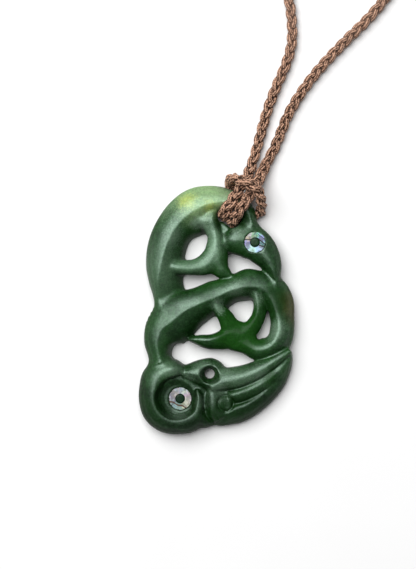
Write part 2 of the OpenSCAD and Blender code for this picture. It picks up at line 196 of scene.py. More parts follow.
# Height of the cord's middle where it lies on the ground, and its middle line, both in metres
LIES = 0.00175
CORD_PATH = [
    (0.017, 0.214, 0.0028), (0.0115, 0.214, 0.0028), (0.0015, 0.2113, 0.002),
    (-0.0085, 0.2045, LIES), (-0.0165, 0.1945, LIES), (-0.0213, 0.1825, LIES),
    (-0.022, 0.17, LIES), (-0.0188, 0.158, LIES), (-0.0124, 0.147, LIES),
    (-0.0044, 0.137, LIES), (0.0042, 0.1273, LIES), (0.0126, 0.1175, LIES),
    (0.0192, 0.1075, LIES), (0.0222, 0.0985, LIES), (0.0234, 0.0905, LIES),
    (0.0233, 0.0825, LIES), (0.0215, 0.0763, LIES), (0.019, 0.0705, LIES),
    (0.0163, 0.0636, LIES), (0.0146, 0.058, LIES), (0.0132, 0.0528, 0.0018),
    (0.0122, 0.0492, 0.0021), (0.0112, 0.046, 0.0028), (0.0103, 0.0434, 0.0038),
    (0.0093, 0.041, 0.0051), (0.008, 0.0386, 0.0068), (0.0065, 0.0364, 0.009),
    (0.005, 0.0342, 0.0101), (0.0036, 0.0321, 0.0097), (0.0026, 0.0304, 0.0079),
    (0.0022, 0.0295, 0.0052), (0.0023, 0.0298, 0.0024), (0.0027, 0.0314, 0.0018),
    (0.0035, 0.0348, 0.0018), (0.0041, 0.0379, 0.0018), (0.0044, 0.0397, 0.0033),
    (0.0045, 0.0403, 0.006), (0.005, 0.0406, 0.0088), (0.0066, 0.0402, 0.0112),
    (0.0088, 0.0393, 0.0122), (0.0109, 0.0383, 0.0119), (0.0126, 0.0369, 0.0107),
    (0.0135, 0.0351, 0.0088), (0.0138, 0.0333, 0.0064), (0.014, 0.0317, 0.004),
    (0.0129, 0.0301, 0.002), (0.0106, 0.0293, 0.0018), (0.0069, 0.0281, 0.0018),
    (0.0052, 0.0275, 0.0024), (0.0049, 0.0274, 0.0052), (0.0056, 0.0286, 0.0079),
    (0.0068, 0.0304, 0.0095), (0.0082, 0.0325, 0.01), (0.0096, 0.0347, 0.0086),
    (0.011, 0.0369, 0.0067), (0.0124, 0.0392, 0.0051), (0.0136, 0.0416, 0.0038),
    (0.0148, 0.0442, 0.0028), (0.0162, 0.047, 0.0021), (0.0178, 0.05, 0.0018),
    (0.0198, 0.0546, LIES), (0.022, 0.0602, LIES), (0.025, 0.0656, LIES),
    (0.029, 0.0714, LIES), (0.034, 0.0774, LIES), (0.0405, 0.0842, LIES),
    (0.0466, 0.0902, LIES), (0.0524, 0.097, LIES), (0.0574, 0.106, LIES),
    (0.0603, 0.117, LIES), (0.062, 0.129, LIES), (0.0628, 0.141, LIES),
    (0.0632, 0.1535, LIES), (0.063, 0.166, LIES), (0.0613, 0.1785, LIES),
    (0.0574, 0.19, LIES), (0.0508, 0.2, LIES), (0.0415, 0.2085, LIES),
    (0.032, 0.2132, 0.0021), (0.0285, 0.214, 0.0028), (0.023, 0.214, 0.0028),
]
STRANDS = 3
THREADS_AROUND = 7
# Along the cord, from one lump of a strand to the next lump on the same side
PLAIT_PITCH = 3.7
# How far a strand's middle swings to each side, and above and below
STRAND_SWING = 0.86
STRAND_LIFT = 0.42
STRAND_R = 0.86
# The plait is pressed round: its height against its width
PLAIT_HEIGHT = 1.22
THREAD_CROWN = 0.09
THREAD_TWIST_LENGTH = 13
CREASE_DEPTH = 0.35
CORE_R = 0.7
CORD_STEP_SEEN = 0.25
CORD_STEP_HIDDEN = 0.6
CORD_SIDES = 52
# Points of the smooth curve for each point of the path
CORD_SPAN_POINTS = 12
# No part of the cord's skin lies lower than this
CORD_FLOOR = 0.02
# Past this height in the picture's frame, the cord is out of view
SEEN_TO_Y = 99
# Where the cord is folded into its hitch, it is looser and thicker
HITCH_TOP_Y = 45
HITCH_SWELL = 1.1


def unit(v):
    return v / np.linalg.norm(v, axis=-1, keepdims=True)


def smooth_line(points, per_span):
    """A smooth curve through the points, by their distances, with per_span points between two of them."""
    p = np.asarray(points, dtype=float)
    gap = np.linalg.norm(np.diff(p, axis=0), axis=1)[:, None]
    slope = np.diff(p, axis=0) / gap
    middle = (slope[:-1] * gap[1:] + slope[1:] * gap[:-1]) / (gap[1:] + gap[:-1])
    tangent = np.vstack([slope[:1], middle, slope[-1:]])
    t = (np.arange(per_span) / per_span)[None, :, None]
    a, b = p[:-1, None], p[1:, None]
    ta, tb = (tangent[:-1] * gap)[:, None], (tangent[1:] * gap)[:, None]
    curve = (
        (2 * t**3 - 3 * t**2 + 1) * a + (t**3 - 2 * t**2 + t) * ta
        + (3 * t**2 - 2 * t**3) * b + (t**3 - t**2) * tb
    )
    return np.vstack([curve.reshape(-1, p.shape[1]), p[-1:]])


def stations(line):
    """Points along the line, close together where it is seen, with their distance along it."""
    run = np.concatenate([[0], np.cumsum(np.linalg.norm(np.diff(line, axis=0), axis=1))])
    places, at = [], 0.0
    while at < run[-1]:
        places.append(at)
        seen = np.interp(at, run, line[:, 1]) < SEEN_TO_Y
        at += CORD_STEP_SEEN if seen else CORD_STEP_HIDDEN
    places.append(run[-1])
    points = np.stack([np.interp(places, run, line[:, k]) for k in range(3)], axis=1)
    return points, np.array(places)


def carried_frames(points):
    """For each point two directions across the line, carried on with no twist."""
    along = unit(np.gradient(points, axis=0))
    across = np.zeros_like(points)
    side = np.array([0.0, 1.0, 0.0])
    for i, way in enumerate(along):
        side = unit(side - side @ way * way)
        across[i] = side
    return across, np.cross(along, across)


def plait_skin(angle, run):
    """Where the plait's skin lies at an angle around it, and how far up its strands and threads that is."""
    dx, dz = np.cos(angle), np.sin(angle)
    reach = np.full(np.broadcast(angle, run).shape, CORE_R)
    next_reach = np.zeros_like(reach)
    relief = np.zeros_like(reach)
    turn = 2 * math.pi / (STRANDS * PLAIT_PITCH)
    for strand in range(STRANDS):
        phase = turn * run + 2 * math.pi * strand / STRANDS
        x, z = STRAND_SWING * np.sin(phase), STRAND_LIFT * np.sin(2 * phase)
        off = x * dz - z * dx
        depth = np.sqrt(np.clip(STRAND_R**2 - off**2, 0, None))
        far = np.where(np.abs(off) < STRAND_R, x * dx + z * dz + depth, 0)
        around = np.arctan2(far * dz - z, far * dx - x)
        thread = np.abs(np.cos(around * THREADS_AROUND / 2 + math.pi * run / THREAD_TWIST_LENGTH))
        ahead = far > reach
        next_reach = np.where(ahead, reach, np.maximum(next_reach, far))
        relief = np.where(ahead, thread, relief)
        reach = np.where(ahead, far, reach)
    crease = np.clip((reach - next_reach) / CREASE_DEPTH, 0, 1)
    skin = reach + THREAD_CROWN * (relief - 1)
    return skin * dx, skin * dz * PLAIT_HEIGHT, relief, crease


def cord_skin(points, run):
    """A ring of skin points around each station, with how far up its threads and its strands each lies."""
    across, up = carried_frames(points)
    angle = np.arange(CORD_SIDES) * 2 * math.pi / CORD_SIDES
    side, height, relief, crease = plait_skin(angle[None, :], run[:, None])
    swell = np.where(points[:, 1] < HITCH_TOP_Y, HITCH_SWELL, 1)[:, None, None]
    ring = side[:, :, None] * across[:, None] + height[:, :, None] * up[:, None]
    skin = points[:, None] + swell * ring
    skin = skin.reshape(-1, 3)
    skin[:, 2] = np.maximum(skin[:, 2], CORD_FLOOR)
    return skin, relief.ravel(), crease.ravel()


def tube_walls(rings, sides):
    """Quads between the rings of a tube that is open at both ends."""
    first = np.arange(rings - 1)[:, None] * sides
    here = np.arange(sides)[None, :]
    beside = (here + 1) % sides
    corners = [first + here, first + beside, first + beside + sides, first + here + sides]
    return np.stack(corners, axis=2).reshape(-1, 4)


def make_cord():
    line = smooth_line(np.array(CORD_PATH) / MM, CORD_SPAN_POINTS)
    points, run = stations(line)
    skin, relief, crease = cord_skin(points, run)
    cord = new_object("plaited_neck_cord", skin, tube_walls(len(points), CORD_SIDES), cord_material())
    # relief and crease drive the cord's painted shade and painted highlight
    add_attribute(cord, "relief", relief)
    add_attribute(cord, "crease", crease)
    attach(cord, "root")
    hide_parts("neck_cord")


# The cord is worn and waxed up to the first of these heights in the picture, and clean past the second
WORN_TO_Y = 56.0
CLEAN_FROM_Y = 95.0
# The shade of the worn part, how strongly the fibres show in both, and the dust on the clean part
WORN_SHADE = 0.79
WORN_CONTRAST = 4.2
CLEAN_CONTRAST = 2.4
CLEAN_DUST = 0.4
# Dust also lies in blotches: the values of their noise, and how much of it
BLOTCH_RANGE = (0.45, 0.75)
BLOTCH_DUST = 0.2
DUST_COLOUR = colour(0.25, 0.155, 0.112)
# Height at a thread's foot and in a crease, where a crown has 1, and the relief from which on it is crown
LOWEST = 0.25
CROWN_FROM = 0.9
# Colours of the thread by its height: painted shade at its foot and in the creases, painted highlight on
# its crowns
PAINTED_THREAD_SHADING_COLOURS = [
    (0.24, (0.008, 0.003, 0.001)), (0.58, (0.058, 0.025, 0.013)),
    (0.82, (0.31, 0.155, 0.095)), (1.0, (0.84, 0.50, 0.34)),
]


def cord_material():
    """Brown waxed thread, with painted highlight on its crowns and painted shade between the threads and
    the strands.
    """
    s = Shader("waxed_thread")
    place = s.place()
    blotch = s.noise(place, 0.5, Detail=2.0)
    fibre = s.noise(place, 2.0, Detail=5.0, Roughness=0.75)
    _, y, _ = s.parts(place)

    def by_wear(worn, clean):
        return s.step(y, WORN_TO_Y, CLEAN_FROM_Y, worn, clean)

    # Painted shade and highlight: the lower the thread and the deeper the crease between strands, the
    # darker its colour
    up_thread = s.step(s.attribute("relief"), 0.0, CROWN_FROM, LOWEST, 1.0)
    up_strand = s.step(s.attribute("crease"), 0.0, 1.0, LOWEST, 1.0)
    height = s.math("MULTIPLY", up_thread, up_strand)
    height = s.math("ADD", height, s.around_zero(fibre, by_wear(WORN_CONTRAST, CLEAN_CONTRAST)))
    dust = s.math("ADD", s.step(blotch, *BLOTCH_RANGE, 0.0, BLOTCH_DUST), by_wear(0.0, CLEAN_DUST))
    base = s.mix(dust, s.ramp(height, PAINTED_THREAD_SHADING_COLOURS), DUST_COLOUR)
    s.surface(
        Base_Color=s.shade(base, by_wear(WORN_SHADE, 1.0)), Normal=s.bump(fibre, depth=0.10),
        Roughness=0.6, Specular_IOR_Level=0.15, Sheen_Weight=0.04,
    )
    return s.material


make_cord()


# The carving. Each form is a limb that follows its own ridge: rows of x, y, width to the left,
# width to the right, height of the ridge, as in the solid it stands for. Left and right are as seen
# along the ridge.

STONE_TOP = 9.3
TOP_ROUNDING = 0.2
BACK_BEVEL = 0.5
# The block of points that the carving is worked out in
GRID_LOW = (-26, -40.4, -0.8)
GRID_HIGH = (26.2, 40.4, 10.3)
GRID_STEP = 0.33
# Points of the smooth ridge for each row of a limb
SPAN_POINTS = 6
# A limb is nowhere thinner than this to a side
LEAST_WIDTH = 0.2
# Where a height field is steeper than this, the distance from it is taken as at this slope
STEEPEST = 3

ARCH = [
    (11.0, 26.0, 3.0, 1.8, 7.4), (9.7, 30.4, 4.8, 2.3, 7.8), (6.5, 33.0, 5.4, 3.2, 8.2),
    (2.0, 33.4, 4.8, 4.9, 8.5), (-2.5, 32.6, 4.4, 6.2, 8.8), (-7.0, 30.7, 7.8, 6.9, 9.0),
    (-10.0, 28.4, 7.2, 6.7, 9.2), (-12.6, 25.5, 6.2, 6.3, 9.3), (-15.2, 20.8, 6.3, 5.9, 9.3),
    (-16.7, 16.0, 7.0, 5.3, 9.2), (-17.8, 11.2, 7.6, 4.0, 8.9), (-18.3, 8.0, 8.2, 2.6, 8.2),
    (-18.2, 5.5, 8.0, 1.8, 7.2), (-17.6, 2.6, 6.6, 1.6, 6.4), (-17.2, 1.2, 5.6, 1.4, 6.0),
]
CLAW_LONG = [
    (-1.2, 30.4, 1.4, 1.8, 7.0), (-1.0, 28.5, 1.5, 2.6, 7.8), (-0.6, 25.5, 1.7, 3.0, 8.2),
    (-0.2, 22.5, 1.9, 2.6, 8.3), (-0.3, 20.0, 2.3, 2.9, 8.3), (-1.2, 16.5, 4.5, 3.4, 8.3),
    (-3.6, 13.7, 2.9, 3.6, 8.3), (-7.5, 12.6, 1.8, 3.1, 8.3), (-11.0, 12.7, 1.7, 2.9, 8.3),
    (-13.2, 13.2, 1.8, 2.3, 8.2), (-14.3, 13.5, 1.4, 1.6, 7.9), (-14.9, 13.7, 0.7, 0.8, 7.4),
]
CLAW_SHORT = [
    (0.3, 23.0, 1.5, 1.2, 7.7), (0.4, 20.0, 2.3, 2.0, 8.0), (0.5, 17.0, 3.1, 3.0, 8.1),
    (0.9, 14.5, 2.7, 4.0, 8.0), (1.8, 12.6, 2.4, 3.0, 7.8), (3.2, 11.5, 1.6, 1.8, 7.3),
    (4.8, 10.6, 0.5, 0.6, 6.4),
]
CLAW_HOOK = [
    (-1.0, 27.7, 3.2, 3.2, 8.0), (-2.6, 27.8, 3.0, 2.8, 8.2), (-4.2, 27.8, 2.3, 2.0, 8.1),
    (-5.4, 27.7, 1.6, 1.4, 7.8), (-6.3, 27.5, 0.8, 0.8, 7.2),
]
UPPER_HEAD = [
    (2.1, 21.2, 0.8, 1.0, 6.6), (2.9, 21.4, 2.2, 2.6, 7.4), (4.0, 21.6, 3.4, 3.8, 8.1),
    (6.0, 21.8, 4.8, 4.6, 8.5), (8.8, 21.6, 6.0, 5.1, 8.7), (12.0, 20.2, 5.4, 5.1, 8.9),
    (14.8, 17.0, 4.8, 4.0, 8.9), (16.8, 13.5, 3.6, 2.4, 8.6), (18.0, 10.0, 1.9, 1.3, 8.2),
    (18.8, 6.8, 0.6, 0.6, 7.6),
]
BAND = [
    (-17.0, -16.2, 3.8, 3.2, 8.3), (-17.9, -13.0, 3.6, 4.6, 8.5), (-18.3, -10.0, 4.2, 7.0, 8.8),
    (-17.2, -6.3, 5.3, 8.0, 9.1), (-13.8, -3.5, 7.8, 7.8, 9.2), (-10.0, -0.4, 6.5, 7.4, 9.2),
    (-4.9, 2.1, 5.3, 6.0, 9.1), (0.0, 4.0, 5.4, 5.0, 9.0), (5.0, 6.3, 4.4, 4.3, 8.9),
    (10.0, 7.1, 5.8, 4.3, 8.7), (13.5, 6.9, 5.0, 4.0, 8.3), (16.0, 5.6, 4.0, 3.0, 7.6),
]
RIGHT_LIMB = [
    (12.5, 7.0, 2.0, 3.5, 7.6), (15.7, 5.2, 6.4, 2.9, 8.2), (17.5, 2.2, 6.5, 2.3, 8.4),
    (18.6, -1.5, 5.8, 2.1, 8.6), (19.4, -5.5, 4.8, 2.7, 8.9), (18.3, -9.0, 5.1, 2.5, 8.9),
    (16.2, -11.5, 3.7, 3.3, 8.7), (12.8, -12.3, 3.3, 3.2, 8.3), (9.5, -11.0, 2.8, 3.8, 7.6),
    (7.0, -9.6, 2.8, 3.8, 7.0),
]
PRONG_LEFT = [
    (6.6, -8.5, 2.4, 4.0, 7.2), (3.8, -5.2, 2.4, 3.4, 7.5), (2.1, -2.4, 1.7, 3.1, 7.8),
    (0.8, -0.4, 1.5, 2.5, 8.0), (0.1, 0.8, 1.5, 2.0, 8.1), (-0.3, 1.8, 1.5, 1.6, 8.1),
    (-0.5, 2.6, 1.3, 1.4, 7.9),
]
PRONG_RIGHT = [
    (7.6, -8.0, 2.2, 3.6, 7.0), (10.6, -5.0, 1.9, 3.0, 7.4), (12.3, -2.0, 1.5, 2.8, 7.6),
    (12.8, 1.0, 1.3, 2.8, 7.8), (12.5, 3.4, 1.2, 2.5, 7.9), (12.0, 5.0, 1.0, 1.8, 7.9),
    (11.5, 6.0, 0.6, 0.9, 7.7),
]
PRONG_LOW = [
    (7.0, -7.0, 5.4, 2.6, 7.0), (2.8, -7.4, 5.1, 1.8, 7.4), (0.4, -8.4, 4.1, 1.5, 7.5),
    (-2.2, -9.2, 3.0, 1.6, 7.4), (-4.9, -9.2, 2.2, 1.5, 7.1), (-7.2, -9.2, 1.1, 1.1, 6.7),
    (-8.8, -9.1, 0.4, 0.4, 6.2),
]
EYE_RIM = [
    (-10.2, -18.2, 1.8, 1.2, 7.2), (-13.2, -17.8, 3.0, 2.6, 8.9), (-16.4, -18.8, 3.0, 4.0, 9.1),
    (-18.6, -21.0, 3.0, 4.6, 9.1), (-19.6, -24.0, 3.0, 4.4, 9.1), (-19.6, -28.0, 3.0, 4.5, 9.1),
    (-18.4, -31.4, 3.0, 4.6, 9.0), (-15.6, -34.0, 3.0, 4.2, 8.9), (-12.0, -34.9, 3.0, 3.7, 8.7),
    (-8.0, -34.2, 3.0, 3.6, 8.4), (-5.6, -31.9, 2.6, 3.2, 8.2), (-5.0, -29.0, 2.4, 1.9, 8.0),
    (-5.3, -26.3, 1.9, 1.6, 7.8), (-5.8, -24.3, 1.0, 1.0, 7.1),
]
CHEEK = [
    (-10.6, -19.4, 1.9, 1.9, 7.2), (-8.6, -19.4, 2.8, 2.8, 8.2), (-5.5, -19.6, 4.2, 4.2, 8.7),
    (-2.0, -20.0, 4.8, 4.8, 8.8),
]
JAW = [
    (-2.2, -24.2, 1.4, 0.7, 7.0), (-1.9, -25.8, 3.2, 1.3, 7.8), (-1.6, -28.0, 4.5, 1.6, 8.1),
    (-1.3, -30.2, 4.5, 1.8, 8.0), (-0.6, -32.2, 4.0, 2.1, 7.5), (0.6, -34.0, 3.0, 2.4, 6.4),
]
FEATHER_TOP = [
    (-2.0, -23.6, 3.0, 2.0, 8.2), (2.0, -22.0, 4.0, 2.8, 8.8), (5.0, -21.3, 3.6, 3.2, 9.0),
    (8.0, -20.5, 3.3, 3.1, 9.0), (12.0, -18.9, 2.9, 2.8, 8.8), (16.0, -16.7, 2.4, 2.2, 8.4),
    (20.0, -14.1, 1.8, 1.6, 7.7), (22.7, -12.4, 1.1, 0.9, 6.9),
]
FEATHER_MID = [
    (3.6, -26.6, 1.4, 2.0, 7.6), (5.0, -26.2, 1.9, 3.0, 8.0), (8.0, -25.3, 1.9, 3.4, 8.0),
    (12.0, -23.7, 2.1, 3.2, 7.8), (16.0, -21.5, 2.5, 2.6, 7.3), (19.5, -18.6, 2.6, 2.2, 6.6),
    (22.2, -15.2, 1.8, 1.2, 6.0),
]
FEATHER_LOW = [
    (3.0, -31.0, 1.6, 4.6, 7.0), (5.5, -30.5, 1.8, 5.0, 7.2), (8.5, -29.6, 1.8, 4.6, 7.1),
    (12.0, -27.7, 1.8, 4.1, 6.9), (15.5, -24.8, 1.7, 3.8, 6.6), (18.4, -21.8, 1.5, 3.3, 6.2),
    (20.7, -18.6, 1.3, 2.4, 5.9), (22.5, -15.0, 1.2, 1.25, 5.7), (22.9, -12.9, 1.0, 0.6, 5.6),
]

# Rows of a limb, then for its left and its right side the height of the edge and the bulge,
# then how far it melts into what was laid before it, how far its ridge is rubbed down,
# and the rounding of its upper edges
LIMBS = [
    (ARCH, 1.2, 2.7, 4.6, 3.2, 0.5, 0.4, 1.1),
    (BAND, 5.2, 3.0, 1.0, 2.8, 1.6, 0.3, 1.1),
    (EYE_RIM, 8.2, 3.5, 4.4, 3.5, 1.8, 0.5, 1.1),
    (CLAW_LONG, 6.0, 3.9, 6.4, 3.5, 1.0, 0.5, 1.0),
    (CLAW_SHORT, 5.6, 3.3, 5.6, 3.9, 1.0, 0.4, 0.8),
    (CLAW_HOOK, 6.0, 4.5, 6.0, 4.1, 1.5, 0.5, 1.1),
    (UPPER_HEAD, 5.4, 3.7, 4.6, 4.1, 1.6, 0.7, 1.1),
    (RIGHT_LIMB, 4.4, 3.2, 5.4, 3.5, 1.2, 0.6, 1.1),
    (PRONG_LEFT, 6.2, 3.3, 5.6, 2.9, 0.8, 0.3, 0.6),
    (PRONG_RIGHT, 6.2, 3.3, 5.4, 2.9, 0.8, 0.3, 0.6),
    (PRONG_LOW, 4.0, 3.0, 5.4, 3.1, 0.8, 0.3, 0.6),
    (CHEEK, 5.0, 3.0, 5.0, 3.0, 0.8, 0.6, 1.1),
    (JAW, 6.0, 2.9, 6.0, 3.5, 1.4, 0.6, 1.1),
    (FEATHER_TOP, 5.4, 3.7, 7.2, 3.9, 0.8, 0.5, 1.1),
    (FEATHER_MID, 5.8, 2.9, 5.2, 3.1, 0.3, 0.35, 0.8),
    (FEATHER_LOW, 4.8, 2.7, 3.0, 3.0, 0.3, 0.35, 1.1),
]
# Round forms: x, y, radius, height of the middle, height of the edge, bulge, melt
DOMES = [
    (-2.0, -20.2, 5.2, 8.8, 4.3, 2.2, 0.8),
    (1.2, -29.0, 7.1, 7.0, 3.6, 2.4, 0.8),
    (-3.8, -33.4, 3.3, 6.8, 4.0, 2.0, 1.0),
    (-12.0, -27.3, 9.0, 6.0, 6.0, 2.0, 0.3),
    (2.6, 24.4, 3.6, 5.6, 5.0, 2.0, 0.8),
    (3.4, 20.3, 2.9, 5.0, 3.0, 2.0, 0.8),
    (7.2, -8.2, 4.5, 6.9, 5.8, 2.0, 1.2),
]
DOME_ROUNDING = 1.1

# Where the cord's two runs go down through the stone: x, y, and the channel's way in degrees
LEFT_CHANNEL = (2.2, 29.5, 77)
RIGHT_CHANNEL = (4.9, 27.4, 18)
CHANNEL_HALF = 1.85
# How far the hole for both runs reaches towards the stone's edge, past the runs
HOLE_REACH = 1.65
CHANNEL_LENGTH = 14
# This share of a limb side's fall is even, and the rest is steeper the further out it lies
EVEN_SHARE = 0.4
NOSTRIL = (-2.1, -19.8)
NOSTRIL_R = 1.5
# The dish around the nostril and the hollow around the lower eye, in rows of radius and height
NOSTRIL_DISH = [(0.0, 4.4), (1.4, 4.4), (2.4, 6.4), (3.2, 8.6), (3.8, 11.5)]
EYE_HOLLOW = (-12.3, -27.1)
EYE_DISH = [(0.0, 5.0), (3.9, 5.0), (4.9, 5.5), (5.8, 6.6), (6.4, 7.9), (6.9, 9.4), (7.2, 11.5)]
DISH_RIM_ROUNDING = 0.2
UPPER_EYE = (11.8, 21.0)
LOWER_EYE = (-11.3, -27.4)
UPPER_EYE_TOP = 8.3
LOWER_EYE_TOP = 5.0
UPPER_RING_R = 3.2
LOWER_RING_R = 3.45
PUPIL_R = 1.5
SHELL_T = 1.2
SEAT_GAP = 0.05
ENGRAVED_RING = (2.8, -28.8)
ENGRAVED_RING_R = 2.4
ENGRAVED_DEPTH = 0.55
ENGRAVED_WIDTH = 0.4
# Fine arcs below the lower eye, with their middle, half length and fade in degrees
EYE_ARC_R = (4.3, 5.0, 5.7)
EYE_ARC_DEPTH = 0.22
EYE_ARC_WIDTH = 0.22
EYE_ARC_MIDDLE = 5
EYE_ARC_HALF = 62
EYE_ARC_FADE = 20
# The groove between the lower head and the jaw: x, y, height of its bottom
MOUTH_LINE = [
    (-4.2, -24.4, 7.4), (-3.9, -27.0, 6.6), (-3.8, -30.0, 6.2), (-3.0, -32.8, 5.4),
    (-1.2, -34.8, 4.4), (1.2, -37.0, 3.2),
]
# The groove is this wide to each side at this height above its bottom
MOUTH_HALF_WIDTH = 1.5
MOUTH_HEIGHT = 3.5


def smooth_max(a, b, k):
    """The larger of two fields, with the edge between them rounded over about k."""
    return np.maximum(a, b) + np.maximum(k - np.abs(a - b), 0) ** 2 / (4 * k)


def smooth_min(a, b, k):
    return -smooth_max(-a, -b, k)


class Grid:
    """Points on which the carving's field is worked out, in millimetres."""

    def __init__(self, low, high, step):
        self.low = np.array(low, dtype=float)
        self.step = step
        counts = np.ceil((np.array(high) - self.low) / step).astype(int) + 1
        axes = [self.low[k] + step * np.arange(counts[k]) for k in range(3)]
        self.x = axes[0][:, None]
        self.y = axes[1][None, :]
        self.z = axes[2][None, None, :]
        self.plan = np.stack(np.broadcast_arrays(self.x, self.y), axis=-1).reshape(-1, 2)
        self.shape = (counts[0], counts[1])

    def from_centre(self, centre):
        return np.hypot(self.x - centre[0], self.y - centre[1])

    def nearest_on(self, line):
        """The nearest piece of a line for each place in plan: number, share along it, distance."""
        line = np.asarray(line, dtype=np.float32)
        plan = self.plan.astype(np.float32)
        start, way = line[:-1, :2], np.diff(line[:, :2], axis=0)
        best = np.full(len(plan), 1e9, dtype=np.float32)
        piece = np.zeros(len(plan), dtype=int)
        share = np.zeros(len(plan), dtype=np.float32)
        for i in range(len(start)):
            rel = plan - start[i]
            t = np.clip(rel @ way[i] / (way[i] @ way[i]), 0, 1)
            far = ((rel - t[:, None] * way[i]) ** 2).sum(axis=1)
            closer = far < best
            best[closer] = far[closer]
            piece[closer] = i
            share[closer] = t[closer]
        return piece, share, np.sqrt(best)


def rub_down(top, reach, step):
    """A height field with its ridges softened over about the reach, out to three times that far."""
    half = int(3 * reach / step) + 1
    weight = np.exp(-0.5 * (np.arange(-half, half + 1) * step / reach) ** 2)
    weight /= weight.sum()
    for axis in (0, 1):
        padding = [(0, 0), (0, 0)]
        padding[axis] = (half, half)
        padded = np.pad(top, padding, mode="edge")
        parts = np.lib.stride_tricks.sliding_window_view(padded, len(weight), axis=axis)
        top = parts @ weight
    return top


def under_slope(z, top, step):
    """A field that is 0 on a height field, and about the true distance from it elsewhere."""
    rise_x, rise_y = np.gradient(top, step)
    steep = np.sqrt(1 + np.minimum(rise_x**2 + rise_y**2, STEEPEST**2))
    return (z - top[:, :, None]) / steep[:, :, None]


def limb_field(grid, rows, left_edge, left_bulge, right_edge, right_bulge):
    """How far each place in plan lies outside a limb, and the height of the limb's top there."""
    line = smooth_line(rows, SPAN_POINTS)
    piece, share, far = grid.nearest_on(line)
    row = line[piece] + (line[piece + 1] - line[piece]) * share[:, None]
    way = unit((line[piece + 1] - line[piece])[:, :2])
    rel = grid.plan - row[:, :2]
    off = way[:, 0] * rel[:, 1] - way[:, 1] * rel[:, 0]
    ahead = (rel * way).sum(axis=1)
    left = off > 0
    width = np.maximum(np.where(left, row[:, 2], row[:, 3]), LEAST_WIDTH)
    edge = np.minimum(np.where(left, left_edge, right_edge), row[:, 4])
    bulge = np.where(left, left_bulge, right_bulge)
    out = np.clip(np.abs(off) / width, 0, 1)
    fall = EVEN_SHARE * out + (1 - EVEN_SHARE) * out**bulge
    top = edge + (row[:, 4] - edge) * (1 - fall)
    at_end = ((piece == 0) & (share <= 0)) | ((piece == len(line) - 2) & (share >= 1))
    side = np.where(at_end, np.maximum(np.abs(off) - width, np.abs(ahead)), far - width)
    return side.reshape(grid.shape), top.reshape(grid.shape)


def dome_field(grid, x, y, radius, middle, edge, bulge):
    q = grid.from_centre((x, y))
    top = edge + (middle - edge) * (1 - np.clip(q / radius, 0, 1) ** bulge)
    return q - radius, top


def raised(grid, side, top, rounding):
    """The solid under a height field within an outline, with its upper edge rounded."""
    return smooth_max(under_slope(grid.z, top, grid.step), side[:, :, None], rounding)


def dish_cut(grid, centre, profile):
    q = grid.from_centre(centre)
    radii, heights = zip(*profile)
    floor = np.interp(q, radii, heights)
    outside = (q - radii[-1])[:, :, None]
    return smooth_max(-under_slope(grid.z, floor, grid.step), outside, DISH_RIM_ROUNDING)


def groove_cut(far, bottom, half_width, height):
    """A V groove: far is the distance from its line in plan."""
    long = math.hypot(half_width, height)
    return (far * height - bottom * half_width) / long


def mouth_cut(grid):
    line = smooth_line(MOUTH_LINE, SPAN_POINTS)
    piece, share, far = grid.nearest_on(line)
    bottom = line[piece, 2] + (line[piece + 1, 2] - line[piece, 2]) * share
    far, bottom = far.reshape(grid.shape)[:, :, None], bottom.reshape(grid.shape)[:, :, None]
    return groove_cut(far, grid.z - bottom, MOUTH_HALF_WIDTH, MOUTH_HEIGHT)


def cord_hole(grid):
    """Distance in plan from a rounded slot that holds the cord's two runs side by side."""
    (left_x, left_y, _), (right_x, right_y, _) = LEFT_CHANNEL, RIGHT_CHANNEL
    half = math.hypot(right_x - left_x, right_y - left_y) / 2
    way_x, way_y = (right_x - left_x) / (2 * half), (right_y - left_y) / (2 * half)
    dx, dy = grid.x - (left_x + right_x) / 2, grid.y - (left_y + right_y) / 2
    along = np.abs(dx * way_x + dy * way_y) - half
    outward = dy * way_x - dx * way_y
    off = np.maximum(-outward, outward - HOLE_REACH)
    return np.hypot(np.maximum(along, 0), np.maximum(off, 0)) - CHANNEL_HALF


def channel_cut(grid, start_x, start_y, degrees):
    turn = math.radians(degrees)
    dx, dy = grid.x - start_x, grid.y - start_y
    ahead = dx * math.cos(turn) + dy * math.sin(turn)
    off = np.abs(dy * math.cos(turn) - dx * math.sin(turn))[:, :, None]
    above = np.maximum(grid.z - CHANNEL_HALF, 0)
    bore = np.hypot(off, above) - CHANNEL_HALF
    ends = np.abs(ahead - CHANNEL_LENGTH / 2) - CHANNEL_LENGTH / 2
    return np.maximum(bore, ends[:, :, None])


def seat_cut(grid, centre, ring_r, top):
    q = grid.from_centre(centre)[:, :, None]
    outer = q - ring_r - SEAT_GAP
    floor = top - SHELL_T - SEAT_GAP
    channel = np.maximum(np.maximum(outer, PUPIL_R - q), floor - grid.z)
    above = np.maximum(outer, top - grid.z)
    return np.minimum(channel, above)


def engraving(grid):
    """How deep the fine lines go into the surface: the circle on the jaw, the arcs below the eye."""
    far = grid.from_centre(ENGRAVED_RING) - ENGRAVED_RING_R
    depth = ENGRAVED_DEPTH * np.exp(-(far / ENGRAVED_WIDTH) ** 2)
    dx, dy = grid.x - LOWER_EYE[0], grid.y - LOWER_EYE[1]
    off_middle = np.degrees(np.arctan2(dx, -dy)) - EYE_ARC_MIDDLE
    fade = np.clip((EYE_ARC_HALF - np.abs(off_middle)) / EYE_ARC_FADE, 0, 1)
    for radius in EYE_ARC_R:
        far = grid.from_centre(LOWER_EYE) - radius
        depth = depth + EYE_ARC_DEPTH * fade * np.exp(-(far / EYE_ARC_WIDTH) ** 2)
    return depth


